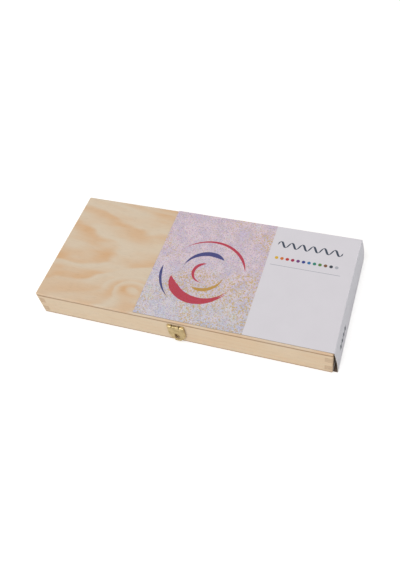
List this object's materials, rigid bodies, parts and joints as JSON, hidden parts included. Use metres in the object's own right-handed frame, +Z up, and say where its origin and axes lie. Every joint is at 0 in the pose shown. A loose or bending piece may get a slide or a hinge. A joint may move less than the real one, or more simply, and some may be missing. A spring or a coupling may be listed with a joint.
{
  "type": "gouache paint set box",
  "caption": "Flat finger-jointed pine paint box with a hinged lid, a brass hasp and a card wrap, holding a row of paint tubes, a brush and a dip pen.",
  "frame": {"origin": "middle of the case's underside", "axes": "+X along the case to the right, -Y out of the front with the clasp, +Z up"},
  "size_m": [0.3657, 0.1697, 0.0394],
  "materials": {
    "board_wood": "sanded pine, bare",
    "panel_wood": "sanded pine veneer, bare",
    "inner_wood": "bare, sawn",
    "tube": "satin, painted band",
    "tube_cap": "satin",
    "brush_handle": "lacquered",
    "brush_ferrule": "nickel",
    "brush_hair": "soft",
    "pen_holder": "lacquered",
    "pen_steel": "bright",
    "hinge_brass": "satin",
    "clasp_brass": "satin, tarnished",
    "card": "printed, matt"
  },
  "bodies": {
    "base": {"base_front_wall": "board_wood", "base_back_wall": "board_wood", "base_left_wall": "board_wood", "base_right_wall": "board_wood", "base_bottom_panel": "panel_wood", "tube_rest_front": "inner_wood", "tube_rest_back": "inner_wood", "compartment_divider": "inner_wood", "tube_01": "tube", "tube_02": "tube", "tube_03": "tube", "tube_04": "tube", "tube_05": "tube", "tube_06": "tube", "tube_07": "tube", "tube_08": "tube", "tube_09": "tube", "tube_10": "tube", "tube_11": "tube", "tube_12": "tube", "tube_cap_01": "tube_cap", "tube_cap_02": "tube_cap", "tube_cap_03": "tube_cap", "tube_cap_04": "tube_cap", "tube_cap_05": "tube_cap", "tube_cap_06": "tube_cap", "tube_cap_07": "tube_cap", "tube_cap_08": "tube_cap", "tube_cap_09": "tube_cap", "tube_cap_10": "tube_cap", "tube_cap_11": "tube_cap", "tube_cap_12": "tube_cap", "brush_handle": "brush_handle", "brush_ferrule": "brush_ferrule", "brush_hair": "brush_hair", "pen_holder": "pen_holder", "pen_ferrule": "pen_steel", "pen_nib": "pen_steel", "left_hinge_base_leaf": "hinge_brass", "right_hinge_base_leaf": "hinge_brass", "left_hinge_pin": "hinge_brass", "right_hinge_pin": "hinge_brass", "base_hinge_screws": "hinge_brass", "clasp_catch": "clasp_brass", "clasp_catch_nails": "clasp_brass"},
    "lid": {"lid_front_wall": "board_wood", "lid_back_wall": "board_wood", "lid_left_wall": "board_wood", "lid_right_wall": "board_wood", "lid_top_panel": "panel_wood", "left_hinge_lid_leaf": "hinge_brass", "right_hinge_lid_leaf": "hinge_brass", "lid_hinge_screws": "hinge_brass", "clasp_lid_leaf": "clasp_brass", "clasp_leaf_nails": "clasp_brass", "clasp_pin": "clasp_brass"},
    "clasp": {"clasp_cover": "clasp_brass"},
    "wrap": {"card_wrap": "card"}
  },
  "joints": [
    {"name": "lid_hinge", "type": "hinge", "parent": "base", "child": "lid", "pos_m": [0, 0.0829, 0.0177], "axis": [-1, 0, 0], "range_deg": [0, 140]},
    {"name": "clasp_swing", "type": "hinge", "parent": "lid", "child": "clasp", "pos_m": [0, -0.0827, 0.0302], "axis": [-1, 0, 0], "range_deg": [0, 160]},
    {"name": "wrap_slide", "type": "slide", "parent": "lid", "child": "wrap", "axis": [1, 0, 0], "range_m": [0, 0.24]}
  ]
}
